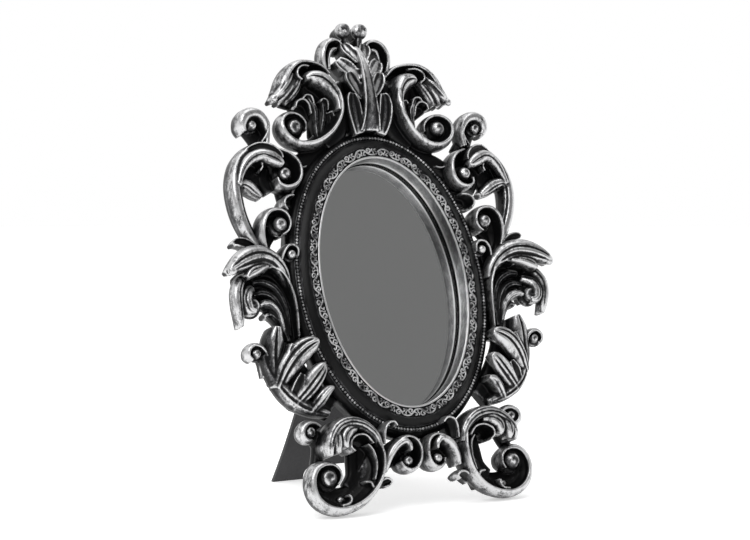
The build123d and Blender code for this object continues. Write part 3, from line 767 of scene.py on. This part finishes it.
def carve_lower_leaf(bm):
    leaf(bm, [(104, -46, 12.6, 5), (101.6, -55, 13.6, 8), (96.6, -65, 15, 11), (90.6, -73.6, 16, 13),
              (82.6, -80, 15.4, 13), (73, -85, 14, 10), (63, -88.6, 13, 5)], (0.4,), silver=0.6)
    # This lobe's outer side is darkened with painted shade.
    leaf(bm, [(98, -66, 14, 9), (98, -50, 16.4, 13), (96.8, -38, 19, 15), (95, -29, 19.6, 8)],
         (-0.1,), silver=0.75, painted_shade_side=-1)
    leaf(bm, [(98, -70, 14, 9), (93, -60, 19, 14), (87, -52, 23, 16), (80, -46, 25.5, 15),
              (73, -42.4, 26, 11), (69, -41, 24.5, 5)], (-0.45, 0.1), deep=12, silver=0.95)
    leaf(bm, [(95, -62, 16, 5), (92, -51, 20.6, 6), (88, -42, 23, 4.4)], (0.0,), silver=0.9)
    leaf(bm, [(90, -82, 13, 8), (82, -74, 19, 13), (74.6, -66, 22.5, 13.6), (69, -59.6, 24, 10),
              (66.4, -56.4, 23, 4.6)], (0.0, 0.5), deep=11, silver=0.95)
    cup(bm, [(90, -76, 15, 5), (86, -69, 19.4, 7.4), (82.6, -62, 20.4, 4)], 0.2, 0.1)
    leaf(bm, [(77, -87, 13, 8), (71, -80, 19.4, 10), (66, -74.6, 22, 8.6), (61.4, -72.4, 21.4, 4.6)],
         RIBBED, silver=0.9)
    web(bm, [(102, -48, 8, 8), (92, -60, 9, 22), (82, -68, 9, 24), (73, -77, 9, 20), (60, -87, 8, 14)])
    web(bm, [(84, -38, 9, 10), (84, -50, 10, 16), (78, -61, 10, 16), (70, -72, 10, 16), (58, -84, 9, 14)])


# %% [markdown]
# ## The feet
# Two broad scrolls end in round feet with hollow sides. They carry the mirror, and the strut
# behind is its third leg. Between them the moulding shows its whole width.


# %% Carve the feet
def carve_foot_curl(bm):
    scroll(bm, [(71, -97, 13, 1.2, 3.6), (75, -94.6, 14, 2, 4), (80, -94.4, 14.4, 3, 4.6),
                (84, -97.4, 14.4, 3.8, 4.6), (85, -101.4, 14, 3.8, 4.6), (82.6, -104.6, 13, 3, 4),
                (78.4, -105.4, 12, 2, 3)], -1)
    eye(bm, 79.4, -99.8, 9.6, 4.2, -1)


def carve_foot_leaf(bm):
    leaf(bm, [(32, -116, 21, 5), (35.6, -106.6, 22.6, 8), (43.6, -99.6, 23.6, 10), (53, -97.2, 24.6, 11),
              (61.6, -99, 25.4, 11), (68, -104.4, 26.4, 10), (72, -112, 26.6, 8), (72, -118.6, 24, 4)],
         (-0.45, 0.0, 0.4))
    leaf(bm, [(62, -101, 23, 6), (66.6, -106, 26.4, 8), (67.6, -112.6, 27, 7), (66.4, -117.4, 25, 3.4)],
         (0.1,), deep=10, silver=0.9)
    leaf(bm, [(50, -101, 22, 6), (56, -102.6, 25.4, 8), (60.4, -106.4, 26.4, 8), (61, -111, 26, 6),
              (59.6, -114, 24.6, 3)], (0.1,), deep=10)
    scroll(bm, [(38, -112, 21, 1, 2.6), (43, -106.4, 22, 1.2, 3), (50, -105.6, 23, 1.2, 3),
                (55.6, -109, 23.6, 1.2, 3), (56.4, -113.6, 23, 1.2, 2.6), (53, -116.6, 22, 1, 2)], -1)
    web(bm, [(37, -113, 8, 8), (48, -105, 9, 13), (60, -104, 9, 14), (70, -106, 9, 14), (77, -99, 8, 10)])
    web(bm, [(70, -107, 8, 12), (73, -116, 8, 10), (76, -122, 8, 8)])


def carve_foot_scroll(bm):
    scroll(bm, [(35, -110, 22, 1.4, 4), (32.6, -119, 23.6, 1.8, 8), (33.6, -129, 23, 2.2, 12),
                (37, -137, 21.4, 3, 13), (43, -144, 19.6, 3.6, 12), (50.6, -149, 18.4, 4, 11),
                (59, -151.8, 17.6, 4.2, 10), (67.4, -152.4, 17.2, 4.4, 10), (75, -150.2, 17, 4.6, 9.6),
                (81, -145.4, 17, 4.8, 9.6), (83.8, -138.6, 17.2, 4.8, 9.6), (83.4, -131.4, 17.4, 4.8, 9),
                (80, -125.6, 17.4, 4.4, 8), (74.4, -123, 17.4, 3.6, 6), (68, -123.6, 17.2, 2.4, 5),
                (63.8, -127.4, 16.8, 1.6, 4), (63.4, -132.6, 16, 1.4, 3), (66, -136.4, 15, 1, 2)], 1)
    curl(bm, [(42, -112, 20), (38.4, -117, 20), (37.4, -126, 20), (40, -136, 18.6)], 1.8)
    curl(bm, [(44, -148, 16), (41.6, -142, 17), (43, -137.4, 18), (47.4, -136.8, 17.6)], 2.6)
    curl(bm, [(66, -150.6, 16), (60.6, -149.6, 16.6), (58.4, -146.4, 16.6), (59.8, -143.8, 15.6)], 2.6)
    bead(bm, 64, -146.6, 9.4, 2.6, paint=0.6)
    eye(bm, 71.8, -131.4, 12, 6.2)
    web(bm, [(40, -112, 8, 12), (42, -128, 8, 16), (46, -139, 8, 15), (56, -145, 7, 17),
             (68, -145, 6.4, 17), (76, -140, 6, 17), (74, -128, 6, 16)])
    web(bm, [(47, -110, 8, 9), (48.6, -121, 8, 9), (50, -131, 8, 9), (56, -138, 7.4, 8)])


def carve_toe_curl(bm):
    scroll(bm, [(39, -141.6, 14, 1.4, 3), (33.6, -136.6, 16.4, 1.6, 3.4), (29, -135.6, 17, 1.6, 3.4),
                (25.8, -138, 16, 1.4, 3), (28, -140.6, 15, 1, 2.4)], 1)


def carve_bottom_scroll(bm):
    leaf(bm, [(29.4, -131, 16, 4.6), (26.6, -122.6, 19.6, 6.6), (21.4, -115.6, 22, 7.6),
              (15, -112.4, 23, 7), (11, -115, 22.6, 5.4), (10.4, -119.4, 21.4, 3)], (-0.25,))
    scroll(bm, [(17.4, -110.4, 21.5, 1.4, 3.6), (11, -109.4, 22.2, 1.6, 4), (5.4, -112, 22.4, 1.6, 4.4),
                (2.8, -117.6, 22.2, 1.6, 4.4), (3, -124.4, 21, 1.8, 4.2), (6, -129.6, 20, 2.2, 4),
                (10.9, -131.6, 19, 2.2, 4), (15.6, -129.4, 18, 2, 3.6), (17.6, -125.4, 17, 1.2, 3)], 1)
    eye(bm, 11.4, -125.4, 15.2, 3.4)
    web(bm, [(24, -125, 7, 8), (16, -120, 7, 14), (9, -121, 7, 9)])


def carve_bottom_curl(bm):
    scroll(bm, [(29.4, -113, 20, 1.4, 3), (28.4, -104, 22, 1.6, 3.4), (25.6, -99.8, 23, 1.6, 3.4),
                (21, -98.8, 23, 1.4, 3.2), (18, -101.6, 21.5, 1.2, 2.6)], 1)


# %% Fuse every ornament and stand it up
MOULDING_MIDDLE, MOULDING_HIGH = 12, 14.0    # where the moulding is entered in the relief map
right_hand = {
    "crest_bud": carve_bud,
    "crest_top_scroll": carve_top_scroll,
    "crest_volute": carve_crest_volute,
    "crest_leaves": carve_crest_leaves,
    "crest_hood": carve_hood,
    "shoulder_scroll": carve_shoulder,
    "side_crescent": carve_crescent,
    "inner_spiral": carve_inner_spiral,
    "mid_volute": carve_mid_volute,
    "small_scroll": carve_small_scroll,
    "mid_leaf": carve_mid_leaf,
    "side_bud": carve_side_bud,
    "small_ball": carve_small_ball,
    "lower_leaf": carve_lower_leaf,
    "foot_curl": carve_foot_curl,
    "foot_leaf": carve_foot_leaf,
    "foot_scroll": carve_foot_scroll,
    "toe_curl": carve_toe_curl,
    "bottom_scroll": carve_bottom_scroll,
    "bottom_curl": carve_bottom_curl,
}
carved = {}
for name, carve in {"crest_plume": carve_plume, **right_hand}.items():
    clay = bmesh.new()
    carve(clay)
    carved[name] = fuse(clay, name)
for angle in range(0, 360, 2):
    place = around(MOULDING_MIDDLE, radians(angle))
    note_heights(np.array([[place.x, place.y, MOULDING_HIGH]]))
blurred = softened(relief)
faces = 0
for name, parts in carved.items():
    skin = brush(parts, blurred)
    hands = (("", False),) if name == "crest_plume" else (("_right", False), ("_left", True))
    for hand, mirrored in hands:
        stand_up(skin, f"carved_{name}{hand}", "casting", [name + hand],
                 casting_finish, mirrored)
        faces += len(skin.polygons)
print(len(carved), "carvings with", faces, "faces")

# %% [markdown]
# ## The moulding
# The oval moulding is one section carried round the opening: a flat back, a hollow outside, a
# step that holds the beads and a broad slope up to the silver lip at the glass. On an oval the
# section has to stand square to the curve all the way round, so each station is placed on the
# sight curve and shifted along its normal.


# %% Helper: carry a section round the sight curve
STATIONS = 192


def ring(name, section):
    """A closed ring whose section is given as (offset, height, silver)."""
    bm = bmesh.new()
    places = [around(0, 2 * pi * index / STATIONS) for index in range(STATIONS)]
    outward = [(-offset, height, paint) for offset, height, paint in section]
    travel(bm, [(p.x, p.y) for p in places], lambda row: outward, closed=True)
    layer = bm.verts.layers.float["rub"]
    paint = [vert[layer] for vert in bm.verts]
    bmesh.ops.recalc_face_normals(bm, faces=bm.faces)
    bmesh.ops.transform(bm, matrix=stand, verts=bm.verts)
    piece = collect(bm, name)
    attribute = piece.data.attributes.new("silver", "FLOAT", "POINT")
    attribute.data.foreach_set("value", paint)
    return piece


# %% Run the moulding, its lip and its rails
moulding = ring("oval_moulding", [
    (10, 0, 0), (21.5, 0, 0), (21.5, 8.2, 0.1), (21.2, 8.8, 0.35), (20.4, 10.6, 0.1), (19.2, 11.9, 0.05),
    (17.9, 12.5, 0.1), (17.5, 13.5, 0.5), (17.2, 13.6, 0.3), (14.8, 13.6, 0.0), (14.4, 13.7, 0.4),
    (14.2, 14.5, 0.5), (13.4, 15.3, 0.25), (11.5, 16.6, 0.15), (10.0, 17.3, 0.15), (8.8, 17.75, 0.35),
    (8.3, 17.9, 0.45), (8.0, 17.6, 0.1), (1.75, 17.6, 0.0), (1.6, 5.6, 0), (4.8, 5.6, 0), (4.8, 2, 0),
    (10, 2, 0),
])
hand_over(moulding, "casting", ["frame_moulding"],
          rubbed_silver("moulding_black", amount=-0.02))

lip = ring("sight_lip", [
    (0.0, 5.6, 0), (1.6, 5.6, 0), (1.6, 17.4, 0.1), (1.5, 17.8, 0.9), (1.1, 18.15, 1.0),
    (0.6, 18.1, 1.0), (0.25, 17.8, 0.9), (0.15, 16.6, 0.52), (0.1, 14.6, 0.5), (0.05, 10.0, 0.56),
    (0.0, 8.4, 0.66), (0.0, 7.6, 1.0), (0.0, 6.9, 0.9), (0.0, 6.3, 0.0),
])
hand_over(lip, "casting", ["sight_edge_lip"],
          rubbed_silver("lip_silver", amount=0.08, wear=0.3))
print("rings have", len(moulding.data.polygons) + len(lip.data.polygons), "faces")

# %% [markdown]
# ## Beads and filigree
# A string of small beads sits in the moulding's step, and a wire-thin running scroll fills the
# band next to the lip. Both are repeated round the oval at equal steps of its length, because
# equal steps of angle would crowd them at the ends.


# %% Helper: equal steps along an offset oval
def equal_steps(offset, count):
    """Angles that divide the offset curve into equal lengths, starting at its top."""
    fine = 3600
    angles = [pi / 2 + 2 * pi * index / fine for index in range(fine + 1)]
    points = [around(offset, angle) for angle in angles]
    length = np.concatenate(([0], np.cumsum([(b - a).length for a, b in zip(points, points[1:])])))
    return [float(np.interp(length[-1] * index / count, length, angles)) for index in range(count)]


# %% String the beads
BEAD_OFFSET, BEAD_HEIGHT, BEAD_RADIUS, BEADS = 16.0, 14.0, 1.12, 232
string = bmesh.new()
for angle in equal_steps(BEAD_OFFSET, BEADS):
    place = around(BEAD_OFFSET, angle)
    made = bmesh.ops.create_uvsphere(string, u_segments=8, v_segments=5, radius=BEAD_RADIUS)["verts"]
    bmesh.ops.translate(string, vec=(place.x, place.y, BEAD_HEIGHT), verts=made)
bmesh.ops.transform(string, matrix=stand, verts=string.verts)
hand_over(collect(string, "bead_string"), "casting", ["bead_band"],
          rubbed_silver("bead_silver", amount=0.16, attribute=False))
print(BEADS, "beads")


# %% Run the filigree
FILIGREE_LOW, WIRE, MOTIFS = 17.6, 0.6, 52
BAND_IN, BAND_OUT = 2.3, 7.5          # the band's edges, out from the sight edge


def wire_section(row):
    """A half-round wire standing on the band. Rows are (u, v, thickness)."""
    return [(row[2] * cos(a), FILIGREE_LOW + row[2] * max(sin(a), -0.3) * 1.3, 1.0)
            for a in (pi * step / 4 for step in range(8))]


def motif(bm, angle, step, flip):
    """One running scroll: a stem that crosses the band and two curls that turn off it."""
    low, high = (BAND_IN, BAND_OUT) if flip else (BAND_OUT, BAND_IN)

    def at(t, across):
        return around(low + (high - low) * across, angle + step * t)

    stem = [(0, 0.1), (0.25, 0.06), (0.5, 0.2), (0.72, 0.55), (0.9, 0.85), (1.08, 0.9)]
    turn = [(0.55, 0.3), (0.38, 0.5), (0.32, 0.75), (0.45, 0.95), (0.62, 0.86), (0.6, 0.66),
            (0.5, 0.66)]
    bud = [(0.8, 0.6), (0.95, 0.42), (1.0, 0.2), (0.86, 0.12)]
    sprig = [(0.12, 0.2), (0.1, 0.45), (0.2, 0.7), (0.14, 0.9)]
    for path, share in ((stem, 1.0), (turn, 0.9), (bud, 0.85), (sprig, 0.8)):
        rows = [(*at(t, across), WIRE * share) for t, across in path]
        travel(bm, through(rows, 3), wire_section)


filigree = bmesh.new()
angles = equal_steps(5.0, MOTIFS)
for index, angle in enumerate(angles):
    following = angles[(index + 1) % MOTIFS] + (2 * pi if index == MOTIFS - 1 else 0)
    motif(filigree, angle, following - angle, index % 2 == 0)
bmesh.ops.recalc_face_normals(filigree, faces=filigree.faces)
bmesh.ops.transform(filigree, matrix=stand, verts=filigree.verts)
hand_over(collect(filigree, "running_filigree"), "casting", ["filigree_band"],
          rubbed_silver("filigree_silver", amount=0.3, attribute=False))
print(MOTIFS, "filigree motifs")

# %% [markdown]
# ## Mirror, back and hardware
# The flat parts already have their right shape in the frame, so they stay and only get their
# materials: clear glass over a bright silvering, black fibreboard, plated steel.


# %% Helper: give a plain solid its material
def dress(node, material):
    """Give a CAD node a material."""
    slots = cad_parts[node].data.materials
    slots.clear()
    slots.append(material)


# %% Glass
glass, nodes, links, shader = new_material("mirror_glass")
shader.inputs["Base Color"].default_value = (0.97, 0.975, 0.972, 1)
shader.inputs["Transmission Weight"].default_value = 1.0
shader.inputs["IOR"].default_value = 1.5
links.new(maths(nodes, links, "MULTIPLY", noise(nodes, links, 30), 0.006), shader.inputs["Roughness"])

GLASS_BACK, GLASS_FRONT = 2.65, 5.55  # a hair clear of the silvering and of the lip
GLASS_REACH, SEAM = 4.7, 0.5          # how far it goes under the lip, and its ground edge
pane = bmesh.new()
rim = bmesh.ops.create_circle(pane, segments=128, cap_ends=True, radius=1)["verts"]
for index, vert in enumerate(rim):
    place = around(GLASS_REACH, 2 * pi * index / len(rim))
    vert.co = (place.x, place.y, GLASS_BACK)
sheet = bmesh.ops.extrude_face_region(pane, geom=pane.faces[:])
raised = [g for g in sheet["geom"] if isinstance(g, bmesh.types.BMVert)]
bmesh.ops.translate(pane, vec=(0, 0, GLASS_FRONT - GLASS_BACK), verts=raised)
front = [e for e in pane.edges if all(abs(v.co.z - GLASS_FRONT) < 0.01 for v in e.verts)]
bmesh.ops.bevel(pane, geom=front, offset=SEAM, affect="EDGES", segments=2, profile=0.5, material=-1)
bmesh.ops.recalc_face_normals(pane, faces=pane.faces)
bmesh.ops.transform(pane, matrix=stand, verts=pane.verts)
hand_over(collect(pane, "mirror_pane"), "casting", ["mirror_glass"], glass,
          smooth=False)

# %% Silvering
silvering, nodes, links, shader = new_material("mirror_silvering")
shader.inputs["Metallic"].default_value = 1.0
tone = ramp(nodes, links, noise(nodes, links, 12), 0.2, 0.8)
links.new(blend_colour(nodes, links, tone, (0.92, 0.92, 0.92), (0.94, 0.94, 0.94)),
          shader.inputs["Base Color"])
shader.inputs["Roughness"].default_value = 0.015
dress("mirror_silvering", silvering)


# %% Board, card and strut
def fibreboard(name, dark, light, rough):
    """Painted fibreboard: a fine felted tooth with faint mottling."""
    material, nodes, links, shader = new_material(name)
    felt = noise(nodes, links, 700, 6.0, 0.7)
    mottle = noise(nodes, links, 45, 3.0, 0.5)
    mixed = maths(nodes, links, "MULTIPLY_ADD", felt, 0.6, 0.2)
    mixed = maths(nodes, links, "MULTIPLY", mixed, maths(nodes, links, "ADD", mottle, 0.5))
    links.new(blend_colour(nodes, links, ramp(nodes, links, mixed, 0.2, 0.8), dark, light),
              shader.inputs["Base Color"])
    links.new(maths(nodes, links, "MULTIPLY_ADD", felt, 0.2, rough - 0.1), shader.inputs["Roughness"])
    bump = nodes.new("ShaderNodeBump")
    bump.inputs["Strength"].default_value = 0.5
    bump.inputs["Distance"].default_value = 0.0002
    links.new(felt, bump.inputs["Height"])
    links.new(bump.outputs["Normal"], shader.inputs["Normal"])
    return material


for node, name, dark, light, rough in (
    ("back_board", "black_fibreboard", (0.012, 0.012, 0.013), (0.035, 0.034, 0.034), 0.75),
    ("backing_card", "kraft_card", (0.30, 0.22, 0.14), (0.42, 0.32, 0.21), 0.85),
    ("easel_strut", "strut_board", (0.022, 0.022, 0.024), (0.052, 0.051, 0.053), 0.62),
):
    dress(node, fibreboard(name, dark, light, rough))


# %% Plated steel
def plated(name, colour, rough, stretch):
    """Bright plating with fine rolling marks along one way."""
    material, nodes, links, shader = new_material(name)
    marks = noise(nodes, links, 1400, 3.0, 0.6, stretch=stretch)
    stain = noise(nodes, links, 150, 4.0, 0.6)
    darker = tuple(c * 0.72 for c in colour)
    links.new(blend_colour(nodes, links, ramp(nodes, links, stain, 0.3, 0.7), darker, colour),
              shader.inputs["Base Color"])
    shader.inputs["Metallic"].default_value = 1.0
    links.new(maths(nodes, links, "MULTIPLY_ADD", marks, 0.25, rough - 0.12), shader.inputs["Roughness"])
    bump = nodes.new("ShaderNodeBump")
    bump.inputs["Strength"].default_value = 0.2
    bump.inputs["Distance"].default_value = 0.0001
    links.new(marks, bump.inputs["Height"])
    links.new(bump.outputs["Normal"], shader.inputs["Normal"])
    return material


hinge_steel = plated("hinge_steel", (0.62, 0.62, 0.63), 0.34, (0.08, 1, 1))
for node in ("hinge_plate", "hinge_leaf", "hinge_pin"):
    dress(node, hinge_steel)
rivet_steel = plated("rivet_steel", (0.66, 0.65, 0.62), 0.28, (1, 1, 1))
for node in ("board_rivets", "strut_rivets"):
    dress(node, rivet_steel)
dress("button_screws", plated("screw_steel", (0.70, 0.68, 0.62), 0.26, (1, 1, 1)))
button_steel = plated("button_steel", (0.60, 0.60, 0.60), 0.36, (1, 0.1, 1))
for number in range(1, 5):
    dress(f"turn_button_{number}", button_steel)

# %% [markdown]
# ## The studio
# A pale floor runs out under a pale backdrop. Metal shows whatever is around it, so the room in
# front of the mirror is kept a quiet grey, which the glass reflects evenly, and three soft boxes
# draw the highlights on the silver.

# %% Floor
floor_bm = bmesh.new()
bmesh.ops.create_circle(floor_bm, cap_ends=True, segments=96, radius=6.0)
floor = collect(floor_bm, "studio_floor")
floor_paint, nodes, links, shader = new_material("studio_floor")
links.new(blend_colour(nodes, links, noise(nodes, links, 4), (0.86, 0.86, 0.86), (0.88, 0.88, 0.88)),
          shader.inputs["Base Color"])
shader.inputs["Roughness"].default_value = 0.9
shader.inputs["Specular IOR Level"].default_value = 0.1
shader.inputs["Emission Color"].default_value = (1, 1, 1, 1)
shader.inputs["Emission Strength"].default_value = 0.5
floor.data.materials.append(floor_paint)
floor.location.z = -0.0002

# %% Room tone
BEHIND, BEFORE, OVERHEAD = 1.0, 0.18, 0.8
world = bpy.data.worlds.new("studio")
bpy.context.scene.world = world
world.use_nodes = True
nodes, links = world.node_tree.nodes, world.node_tree.links
facing = nodes.new("ShaderNodeTexCoord")
split = nodes.new("ShaderNodeSeparateXYZ")
links.new(facing.outputs["Generated"], split.inputs["Vector"])
depth = ramp(nodes, links, split.outputs["Y"], -0.15, 0.25)
height = ramp(nodes, links, split.outputs["Z"], 0.62, 0.95)
level = maths(nodes, links, "MULTIPLY_ADD", depth, BEHIND - BEFORE, BEFORE)
level = maths(nodes, links, "MAXIMUM", level, maths(nodes, links, "MULTIPLY", height, OVERHEAD))
links.new(level, nodes["Background"].inputs["Strength"])
nodes["Background"].inputs["Color"].default_value = (1, 1, 1, 1)


# %% Soft boxes
def soft_box(name, towards, distance, size, power):
    """A square area light that faces the mirror's middle."""
    data = bpy.data.lights.new(name, "AREA")
    data.size = size
    data.energy = power
    light = bpy.data.objects.new(name, data)
    target = Vector((0, 0, back_centre.z))
    light.location = target + Vector(towards).normalized() * distance
    light.rotation_euler = (target - light.location).to_track_quat("-Z", "Y").to_euler()
    bpy.context.scene.collection.objects.link(light)
    return light


soft_box("key", (-0.75, -0.5, 0.75), 1.3, 0.8, 7.5)
soft_box("fill", (0.95, -0.25, 0.25), 1.5, 0.9, 3)
soft_box("top", (0.0, -0.1, 1.0), 1.4, 0.9, 4)
soft_box("low", (-0.35, -1.0, -0.02), 1.6, 0.5, 1.2)

# %% Camera
CAMERA_FROM_CENTRE = Vector((-0.6020, -1.0484, 0.0776))
aim = back_centre + out_of_back * 0.008
camera_data = bpy.data.cameras.new("camera")
camera_data.sensor_width = 36
camera_data.lens = 83.64
camera = bpy.data.objects.new("camera", camera_data)
bpy.context.scene.collection.objects.link(camera)
camera_back = Vector((-0.4905, -0.8698, 0.0564)).normalized()
camera_right = Vector((0.8711, -0.4912, 0)).normalized()
camera_up = camera_back.cross(camera_right)
turned = Matrix((camera_right, camera_up, camera_back)).transposed().to_4x4()
camera.matrix_world = Matrix.Translation(aim + CAMERA_FROM_CENTRE) @ turned
bpy.context.scene.camera = camera
bpy.context.scene.view_settings.view_transform = "Standard"
